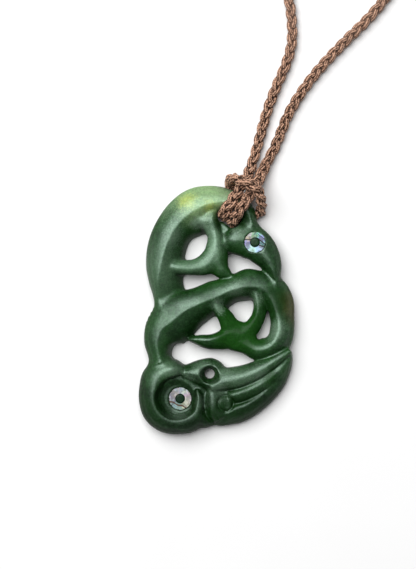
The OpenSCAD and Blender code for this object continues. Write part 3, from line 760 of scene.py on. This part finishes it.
def carving_cuts(grid):
    """What is cut into the carving, each with how far the cut's upper edge is rounded."""
    return [
        (-cord_hole(grid)[:, :, None], 0.8),
        ((NOSTRIL_R - grid.from_centre(NOSTRIL))[:, :, None], 0.5),
        (-dish_cut(grid, NOSTRIL, NOSTRIL_DISH), 0.6),
        (-dish_cut(grid, EYE_HOLLOW, EYE_DISH), 0.6),
        (-mouth_cut(grid), 1.2),
        (-channel_cut(grid, *LEFT_CHANNEL), 0.3),
        (-channel_cut(grid, *RIGHT_CHANNEL), 0.3),
        (-seat_cut(grid, UPPER_EYE, UPPER_RING_R, UPPER_EYE_TOP), 0.08),
        (-seat_cut(grid, LOWER_EYE, LOWER_RING_R, LOWER_EYE_TOP), 0.08),
    ]


def carving_field(grid):
    """Negative inside the stone."""
    field = None
    for rows, left_edge, left_bulge, right_edge, right_bulge, melt, rubbed, rounding in LIMBS:
        side, top = limb_field(grid, rows, left_edge, left_bulge, right_edge, right_bulge)
        solid = raised(grid, side, rub_down(top, rubbed, grid.step), rounding)
        field = solid if field is None else smooth_min(field, solid, melt)
    for x, y, radius, middle, edge, bulge, melt in DOMES:
        side, top = dome_field(grid, x, y, radius, middle, edge, bulge)
        field = smooth_min(field, raised(grid, side, top, DOME_ROUNDING), melt)
    field = smooth_max(field, -grid.z, BACK_BEVEL)
    field = smooth_max(field, grid.z - STONE_TOP, TOP_ROUNDING)
    for cut, rounding in carving_cuts(grid):
        field = smooth_max(field, cut, rounding)
    return field + engraving(grid)[:, :, None]


# A surface from a field: one point in each cell that the surface crosses

CELL_CORNERS = np.array([(i, j, k) for i in (0, 1) for j in (0, 1) for k in (0, 1)])
CELL_EDGES = [
    (a, b) for a in range(8) for b in range(a + 1, 8)
    if np.abs(CELL_CORNERS[a] - CELL_CORNERS[b]).sum() == 1
]


def crossed_cells(inside):
    """The cells with corners both inside and outside."""
    sizes = np.array(inside.shape) - 1
    filled = np.zeros(sizes, dtype=np.int8)
    for i, j, k in CELL_CORNERS:
        filled += inside[i:i + sizes[0], j:j + sizes[1], k:k + sizes[2]]
    return np.argwhere((filled > 0) & (filled < 8))


def cell_points(field, cells):
    """In each cell, the mean of the points where its edges cross the surface."""
    values = [field[tuple((cells + corner).T)] for corner in CELL_CORNERS]
    total = np.zeros(cells.shape)
    hits = np.zeros(len(cells))
    for a, b in CELL_EDGES:
        crossing = (values[a] < 0) != (values[b] < 0)
        gap = np.where(crossing, values[a] - values[b], 1)
        share = values[a] / gap
        point = CELL_CORNERS[a] + share[:, None] * (CELL_CORNERS[b] - CELL_CORNERS[a])
        total += crossing[:, None] * point
        hits += crossing
    return cells + total / hits[:, None]


def cell_quads(inside, number):
    """A quad around each edge of the grid that the surface crosses."""
    quads = []
    for axis in range(3):
        u, v = np.eye(3, dtype=int)[(axis + 1) % 3], np.eye(3, dtype=int)[(axis + 2) % 3]
        ahead = np.roll(inside, -1, axis=axis)
        starts = np.argwhere(inside != ahead)
        fits = (starts > 0).all(axis=1) & (starts < np.array(inside.shape) - 1).all(axis=1)
        starts = starts[fits]
        ring = [starts - u - v, starts - v, starts, starts - u]
        quad = np.stack([number[tuple(cell.T)] for cell in ring], axis=1)
        outward = inside[tuple(starts.T)]
        quad[~outward] = quad[~outward][:, ::-1]
        quads.append(quad)
    return np.vstack(quads)


def surface_of(field, grid):
    """Points and quads of the surface where a field is 0."""
    inside = field < 0
    cells = crossed_cells(inside)
    number = np.full(np.array(inside.shape) - 1, -1)
    number[tuple(cells.T)] = np.arange(len(cells))
    points = grid.low + grid.step * cell_points(field, cells)
    return points, cell_quads(inside, number)


# The stone's material

DARK_GREEN = colour(0.005, 0.026, 0.004)
CLEAR_GREEN = colour(0.010, 0.060, 0.006)
# The pale green of the painted highlights
PAINTED_HIGHLIGHT_GREEN = colour(0.14, 0.22, 0.15)
PUPIL_GREEN = colour(0.004, 0.018, 0.010)
SHINE_TINT = colour(0.72, 1.0, 0.82)
# Greens that come in over the dark one with the clouds, the grain and the flecks: from and to which
# value of the noise, share, colour
GREENS = [
    (0.38, 0.66, 1.0, colour(0.011, 0.054, 0.008)),
    (0.42, 0.72, 0.8, colour(0.020, 0.078, 0.020)),
    (0.56, 0.70, 0.6, colour(0.060, 0.130, 0.060)),
]
# From and to which value of the noise, and what it stands for there
SPECKLE_LIGHT = (0.36, 0.64, 0.78, 1.13)
GRAIN_ROUGHNESS = (0.3, 0.8, 0.36, 0.50)
# The hand with the prongs, where the stone is clearer
HAND_MIDDLE = (6.5, -5.5, 6.0)
HAND_SHARE = 0.8
# The edges of the pale places wander with the clouds, and are stippled by the flecks
EDGE_WANDER = 8.0
EDGE_STIPPLE = 6.0
# Painted shade over the stone's lower end, where less light reaches: from and to which y, and how dark
PAINTED_SHADE_Y_RANGE = (-28.0, -17.0)
PAINTED_SHADE_AT_BOTTOM = 0.48
# Pupils: how strong their dark green is at the rim and in the clearer middle, and how much they shine
PUPILS = ((*UPPER_EYE, UPPER_EYE_TOP), (*LOWER_EYE, LOWER_EYE_TOP))
PUPIL_SHARE = 0.95
PUPIL_MIDDLE_SHARE = 0.55
PUPIL_SHINE = 0.15
# How much the stone shines on its steep sides and on its flat tops, by how far its surface faces up
FACING_UP = (0.55, 0.92)
SIDE_SHINE = 0.04
TOP_SHINE = 0.88
# Paler and darker places in the stone, partly its own tones and partly painted sheen and painted shade:
# middle, inner and outer radius, strength, colour
PALE_TONES_AND_PAINTED_LIGHT = [
    # painted sheen along the arch's left side
    ((-19.5, 13.0, 7.0), 2.0, 14.0, 0.7, colour(0.072, 0.135, 0.075)),
    ((-6.0, 36.0, 8.0), 4.0, 11.5, 0.9, colour(0.24, 0.38, 0.17)),
    ((1.0, 35.5, 8.0), 2.0, 7.5, 0.8, colour(0.24, 0.38, 0.17)),
    ((4.0, 36.0, 6.0), 1.5, 6.5, 0.55, colour(0.2, 0.27, 0.16)),
    ((-14.5, 31.5, 4.0), 1.0, 6.0, 0.6, colour(0.13, 0.23, 0.115)),
    ((-9.0, 33.5, 7.5), 1.0, 4.5, 0.8, colour(0.4, 0.48, 0.1)),
    ((-2.5, 32.0, 8.0), 0.5, 3.5, 0.7, colour(0.38, 0.46, 0.09)),
    # painted sheen on the claw's stem and face
    ((-0.8, 22.0, 8.0), 0.5, 6.0, 0.7, colour(0.15, 0.26, 0.16)),
    ((-8.0, 14.6, 8.0), 1.0, 6.5, 0.55, colour(0.12, 0.22, 0.13)),
    ((24.5, 1.0, 5.0), 2.0, 7.0, 0.55, colour(0.085, 0.055, 0.012)),
    # painted shade on the right limb's top, which faces away from the light
    ((17.7, 3.0, 8.5), 1.5, 5.5, 0.7, DARK_GREEN),
]
# Painted highlights on the stone's crests, tips and shoulders: middle, radius, strength
PAINTED_HIGHLIGHT_PLACES = [
    ((-14.0, 22.5, 9.0), 5.5, 0.5),
    ((-5.0, 27.0, 8.2), 3.5, 0.85),
    ((-3.0, 24.3, 7.5), 3.0, 0.5),
    ((5.5, 25.3, 8.0), 3.0, 0.8),
    ((5.8, 6.2, 8.9), 4.0, 0.45),
    ((0.6, 1.3, 8.3), 3.5, 0.75),
    ((11.4, 4.0, 8.0), 3.5, 0.6),
    ((18.2, -6.2, 8.7), 4.5, 0.75),
    ((-4.5, -17.6, 8.0), 6.0, 0.75),
    ((2.3, -18.4, 8.3), 4.0, 0.6),
    ((-12.5, -18.0, 8.5), 5.5, 0.4),
    ((-8.9, -20.8, 8.0), 3.0, 0.6),
    ((7.0, -20.0, 8.5), 6.0, 0.35),
    ((12.5, -19.0, 8.5), 5.0, 0.5),
    ((0.0, -24.2, 8.0), 4.5, 0.55),
    ((-4.5, -28.2, 8.0), 3.5, 0.6),
    ((-12.0, -32.4, 7.0), 5.5, 0.65),
]
PAINTED_HIGHLIGHT_INNER_R = 0.5
# Places with a duller polish: middle, inner and outer radius, share of the shine that is left
DULL_PLACES = [
    (HAND_MIDDLE, 5.0, 12.5, 0.06),
    ((17.5, 3.0, 8.5), 2.0, 7.5, 0.2),
    ((8.3, 23.0, 8.7), 0.5, 3.5, 0.5),
    ((16.7, -20.8, 8.0), 1.0, 4.5, 0.25),
    ((1.4, -28.2, 8.0), 0.5, 3.5, 0.3),
    ((-7.0, -24.4, 7.8), 0.5, 2.5, 0.2),
    ((-15.5, -26.9, 8.0), 0.5, 3.0, 0.3),
    ((-13.6, 0.3, 9.0), 0.5, 4.0, 0.6),
    ((9.0, 9.5, 8.7), 1.0, 5.0, 0.55),
    ((-3.0, 5.0, 9.0), 1.0, 5.0, 0.6),
    ((12.0, -28.0, 8.0), 0.5, 4.0, 0.6),
    ((-8.0, 12.5, 8.0), 1.0, 6.0, 0.6),
    ((-17.5, -3.0, 9.0), 1.0, 6.0, 0.7),
]


def clouded_green(s, place, noises):
    """The stone's green by its clouds, grain and flecks, clearer in the hand."""
    green = DARK_GREEN
    for noise, (low, high, share, tint) in zip(noises, GREENS):
        green = s.mix(s.step(noise, low, high, 0.0, share), green, tint)
    hand = s.spot(place, HAND_MIDDLE, inner=4.0, outer=12.5)
    return s.mix(s.math("MULTIPLY", hand, HAND_SHARE), green, CLEAR_GREEN)


# Paler places, painted sheen and painted shade, and then the painted highlights, are mixed into the green
def with_pale_tones_and_painted_light(s, green, place, wander, stipple):
    # The painted highlights are mixed in as pale places
    painted_highlights = [(at, PAINTED_HIGHLIGHT_INNER_R, radius, share, PAINTED_HIGHLIGHT_GREEN) for at, radius, share in PAINTED_HIGHLIGHT_PLACES]
    for centre, inner, outer, strength, tint in PALE_TONES_AND_PAINTED_LIGHT + painted_highlights:
        far = s.math("SUBTRACT", s.math("SUBTRACT", s.distance(place, centre), wander), stipple)
        share = s.math("MULTIPLY", s.step(far, inner, outer, 1.0, 0.0), strength)
        green = s.mix(share, green, tint)
    return green


def in_pupils(s, place, inner, outer):
    return s.math("MAXIMUM", *[s.spot(place, centre, inner, outer) for centre in PUPILS])


def stone_shine(s, place, light, pupils):
    """Most on the flat tops, and less on the sides, in the dull places, on the pupils and under the painted
    shade of the lower end.
    """
    up = s.node("SeparateXYZ", {0: s.node("NewGeometry", {}, out="Normal")}, out="Z")
    shine = s.math("MULTIPLY", s.step(up, *FACING_UP, SIDE_SHINE, TOP_SHINE), light)
    for centre, inner, outer, left in DULL_PLACES:
        dull = s.spot(place, centre, inner, outer)
        shine = s.math("MULTIPLY", shine, s.step(dull, 0.0, 1.0, 1.0, left))
    return s.math("MULTIPLY", shine, s.step(pupils, 0.0, 1.0, 1.0, PUPIL_SHINE))


def stone_material():
    """Dark green polished stone: clouded and flecked, paler at the top of the arch, clearer in the hand,
    with painted highlights, sheen and shade in its colour.
    """
    s = Shader("green_stone")
    place = s.place()
    _, y, _ = s.parts(place)
    cloud = s.noise(place, 0.10, Detail=4.0, Distortion=0.6)
    grain = s.noise(place, 0.8, Detail=5.0, Roughness=0.65)
    fleck = s.noise(place, 2.6, Detail=3.0, Roughness=0.6)
    speckle = s.noise(place, 1.5, Detail=4.0, Roughness=0.75)
    wander = s.around_zero(cloud, EDGE_WANDER)
    stipple = s.around_zero(fleck, EDGE_STIPPLE)
    green = clouded_green(s, place, (cloud, grain, fleck))
    green = with_pale_tones_and_painted_light(s, green, place, wander, stipple)
    # Painted shade: the lower end is darkened, and this times the stone's own speckle darkens both its
    # colour and its shine
    low = s.step(s.math("ADD", y, wander), *PAINTED_SHADE_Y_RANGE, PAINTED_SHADE_AT_BOTTOM, 1.0)
    light = s.math("MULTIPLY", low, s.step(speckle, *SPECKLE_LIGHT))
    pupils = in_pupils(s, place, inner=1.5, outer=1.9)
    middles = in_pupils(s, place, inner=0.9, outer=1.4)
    dark = s.math("MULTIPLY", pupils, s.step(middles, 0.0, 1.0, PUPIL_SHARE, PUPIL_MIDDLE_SHARE))
    s.surface(
        Base_Color=s.mix(dark, s.shade(green, light), PUPIL_GREEN),
        Roughness=s.step(grain, *GRAIN_ROUGHNESS),
        Specular_IOR_Level=stone_shine(s, place, light, pupils), Specular_Tint=SHINE_TINT, IOR=1.6,
        Normal=s.bump(s.math("ADD", grain, fleck), depth=0.05),
        Subsurface_Weight=0.2, Subsurface_Scale=1.0 * MM, Subsurface_Radius=(0.35, 1.0, 0.4),
        Coat_Weight=0.08, Coat_Roughness=0.16,
    )
    return s.material


def make_stone():
    grid = Grid(GRID_LOW, GRID_HIGH, GRID_STEP)
    points, quads = surface_of(carving_field(grid), grid)
    stone = new_object("carved_stone", points, quads, stone_material())
    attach(stone, "root")
    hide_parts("stone")


make_stone()


# Shell rings and the clasp keep their solids and get their finish

SHELL_DARK = colour(0.012, 0.010, 0.014)
SHELL_BROWN = colour(0.070, 0.028, 0.010)
# How far round the ring a piece of nacre may take its colour from, and how strong the rainbow over it is
NACRE_DRIFT = 0.07
RAINBOW_SHARE = 0.2
RAINBOW = [
    (0.30, (0.34, 0.18, 0.38)), (0.42, (0.13, 0.22, 0.48)), (0.50, (0.15, 0.42, 0.34)),
    (0.58, (0.48, 0.46, 0.32)), (0.70, (0.28, 0.25, 0.44)),
]
# Colours around each ring, from its left side over its bottom, right side and top
UPPER_SHELL = [
    (0.0, (0.20, 0.18, 0.38)), (0.08, (0.30, 0.36, 0.50)), (0.17, (0.42, 0.66, 0.62)),
    (0.24, (0.46, 0.74, 0.58)), (0.31, (0.34, 0.52, 0.76)), (0.38, (0.34, 0.40, 0.56)),
    (0.43, (0.04, 0.08, 0.06)), (0.48, (0.10, 0.30, 0.32)), (0.56, (0.22, 0.20, 0.40)),
    (0.62, (0.22, 0.26, 0.56)), (0.69, (0.14, 0.44, 0.28)), (0.74, (0.04, 0.08, 0.05)),
    (0.79, (0.22, 0.40, 0.18)), (0.86, (0.44, 0.38, 0.38)), (0.93, (0.36, 0.28, 0.14)),
    (1.0, (0.20, 0.18, 0.38)),
]
LOWER_SHELL = [
    (0.0, (0.22, 0.20, 0.24)), (0.10, (0.14, 0.20, 0.20)), (0.22, (0.20, 0.32, 0.30)),
    (0.34, (0.42, 0.44, 0.30)), (0.48, (0.50, 0.46, 0.42)), (0.57, (0.46, 0.32, 0.40)),
    (0.65, (0.38, 0.44, 0.38)), (0.74, (0.24, 0.26, 0.36)), (0.86, (0.34, 0.30, 0.28)),
    (1.0, (0.22, 0.20, 0.24)),
]
# Growth lines over the upper ring: side, height at the middle, slope, half width
UPPER_LINES = [
    (1, 1.9, -0.8, 0.20), (1, -0.45, -0.35, 0.15), (-1, 0.95, 0.04, 0.12), (1, 3.3, -0.8, 0.06),
]
# A growth line is blurred over this width, and comes in this far to the side of the ring's middle
LINE_BLUR = 0.1
LINE_START = (0.6, 1.0)
# The brown line over the lower ring: height at the middle, slope, waves, and where it fades out
LOWER_LINE_LEVEL = -2.1
LOWER_LINE_SLOPE = -0.38
WAVE_RADIANS_PER_MM = 2.2
WAVE_HEIGHT = 0.16
LOWER_LINE_FADE = (0.15, 0.32)
# Fainter layers below it: half the gap between two, their edges, their strength, where they come in
LAYER_HALF_GAP = 0.28
LAYER_EDGE = (0.16, 0.26)
LAYER_SHARE = 0.5
LAYER_START = (0.1, 0.3)


def dress(node, material):
    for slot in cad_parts[node].material_slots:
        slot.material = material


def ring_place(s, place, centre):
    """The turn around a ring, 0 to 1 from its left side over its bottom, and x and y from its middle."""
    x, y, _ = s.parts(s.node("VectorMath", {0: place, 1: (*centre, 0)}, operation="SUBTRACT"))
    turn = s.math("MULTIPLY", s.math("ARCTAN2", y, x), 0.5 / math.pi)
    return s.math("ADD", turn, 0.5), x, y


def shell_base(s, place, turn, tints, patchy):
    """Pieces of nacre, each with its own shade of its colour; patchy is how much they differ."""
    cells = s.node("TexVoronoi", {"Vector": place, "Scale": 1.3, "Randomness": 1.0}, out="Color")
    chance = s.node("SeparateColor", {"Color": cells}).node.outputs
    turn = s.math("ADD", turn, s.around_zero(chance[0], NACRE_DRIFT))
    rainbow = s.ramp(s.noise(place, 0.9, Detail=2.0, Distortion=2.0), RAINBOW)
    base = s.mix(RAINBOW_SHARE, s.ramp(turn, tints), rainbow)
    return s.shade(base, s.step(chance[1], 0.0, 1.0, 1 - patchy, 1 + patchy))


def finish_shell(s, base, dark, tint, place):
    fine = s.noise(place, 2.5, Detail=3.0, Distortion=1.0)
    s.surface(
        Base_Color=s.mix(dark, base, tint), Normal=s.bump(fine, depth=0.05),
        Roughness=0.3, Specular_IOR_Level=0.25, Coat_Weight=0.08, Coat_Roughness=0.1,
    )
    return s.material


def upper_shell():
    """Blue and green shell, crossed by dark growth lines."""
    s = Shader("shell_upper")
    place = s.place()
    turn, x, y = ring_place(s, place, UPPER_EYE)
    dark = 0.0
    for side, level, slope, half_width in UPPER_LINES:
        off = s.math("SUBTRACT", s.math("SUBTRACT", y, s.math("MULTIPLY", x, slope)), level)
        line = s.step(s.math("ABSOLUTE", off), half_width, half_width + LINE_BLUR, 1.0, 0.0)
        there = s.step(s.math("MULTIPLY", x, side), *LINE_START)
        dark = s.math("MAXIMUM", dark, s.math("MULTIPLY", line, there))
    base = shell_base(s, place, turn, UPPER_SHELL, patchy=0.4)
    return finish_shell(s, base, dark, SHELL_DARK, place)


def lower_shell():
    """Whitish shell, crossed below the pupil by one wavy brown line with fainter layers below it."""
    s = Shader("shell_lower")
    place = s.place()
    turn, x, y = ring_place(s, place, LOWER_EYE)
    wave = s.math("MULTIPLY", s.math("SINE", s.math("MULTIPLY", x, WAVE_RADIANS_PER_MM)), WAVE_HEIGHT)
    level = s.math("ADD", s.math("MULTIPLY", x, LOWER_LINE_SLOPE), LOWER_LINE_LEVEL)
    below = s.math("SUBTRACT", s.math("ADD", level, wave), y)
    line = s.step(s.math("ABSOLUTE", below), *LOWER_LINE_FADE, 1.0, 0.0)
    layers = s.step(s.math("PINGPONG", below, LAYER_HALF_GAP), *LAYER_EDGE, 0.0, LAYER_SHARE)
    layers = s.math("MULTIPLY", layers, s.step(below, *LAYER_START))
    dark = s.math("MAXIMUM", line, layers)
    base = shell_base(s, place, turn, LOWER_SHELL, patchy=0.35)
    return finish_shell(s, base, dark, SHELL_BROWN, place)


dress("upper_eye_ring", upper_shell())
dress("lower_eye_ring", lower_shell())


# The grain of the wood is drawn out along the barrel
WOOD_STRETCH = (0.15, 1.0, 1.0)
WOOD_COLOURS = [(0.3, (0.030, 0.016, 0.010)), (0.7, (0.13, 0.070, 0.040))]


def wood_material():
    """Dark oiled wood with its grain along the barrel."""
    s = Shader("dark_wood")
    place = s.node("VectorMath", {0: s.place(), 1: WOOD_STRETCH}, operation="MULTIPLY")
    grain = s.noise(place, 2.2, Detail=5.0, Roughness=0.65, Distortion=0.4)
    s.surface(Base_Color=s.ramp(grain, WOOD_COLOURS), Roughness=0.42, Normal=s.bump(grain, depth=0.06))
    return s.material


dress("clasp", wood_material())


# Floor and light

FLOOR_HALF = 2000
# The floor lies just below the part's back
FLOOR_Z = -0.02
FLOOR_COLOURS = [(0.3, (0.86, 0.86, 0.86)), (0.7, (0.88, 0.88, 0.88))]
# Square lights that face the carving: name, place and size in metres, power in watts
LIGHTS = [
    ("box_light", (-0.36, 0.50, 1.20), 1.3, 30),
    ("fill_light", (0.9, -0.5, 0.9), 0.8, 0.3),
]
WORLD_LIGHT = 0.06


def make_floor():
    signs = ((-1, -1), (1, -1), (1, 1), (-1, 1))
    corners = [(x * FLOOR_HALF, y * FLOOR_HALF, FLOOR_Z) for x, y in signs]
    s = Shader("floor")
    grain = s.noise(s.place(), 0.02, Detail=2.0)
    s.surface(Base_Color=s.ramp(grain, FLOOR_COLOURS), Roughness=0.8, Specular_IOR_Level=0.2)
    floor = new_object("floor", corners, [(0, 1, 2, 3)], s.material)


def make_area_light(name, place, size, power):
    data = bpy.data.lights.new(name, "AREA")
    data.shape = "SQUARE"
    data.size = size
    data.energy = power
    light = bpy.data.objects.new(name, data)
    light.location = place
    x, y, z = place
    light.rotation_euler = (math.atan2(math.hypot(x, y), z), 0, math.atan2(x, -y))
    bpy.context.scene.collection.objects.link(light)


def make_world():
    world = bpy.data.worlds.new("studio")
    world.use_nodes = True
    background = world.node_tree.nodes["Background"]
    background.inputs["Color"].default_value = colour(1.0, 1.0, 1.0)
    background.inputs["Strength"].default_value = WORLD_LIGHT
    bpy.context.scene.world = world
    bpy.context.scene.view_settings.view_transform = "Standard"


make_floor()
for name, place, size, power in LIGHTS:
    make_area_light(name, place, size, power)
make_world()
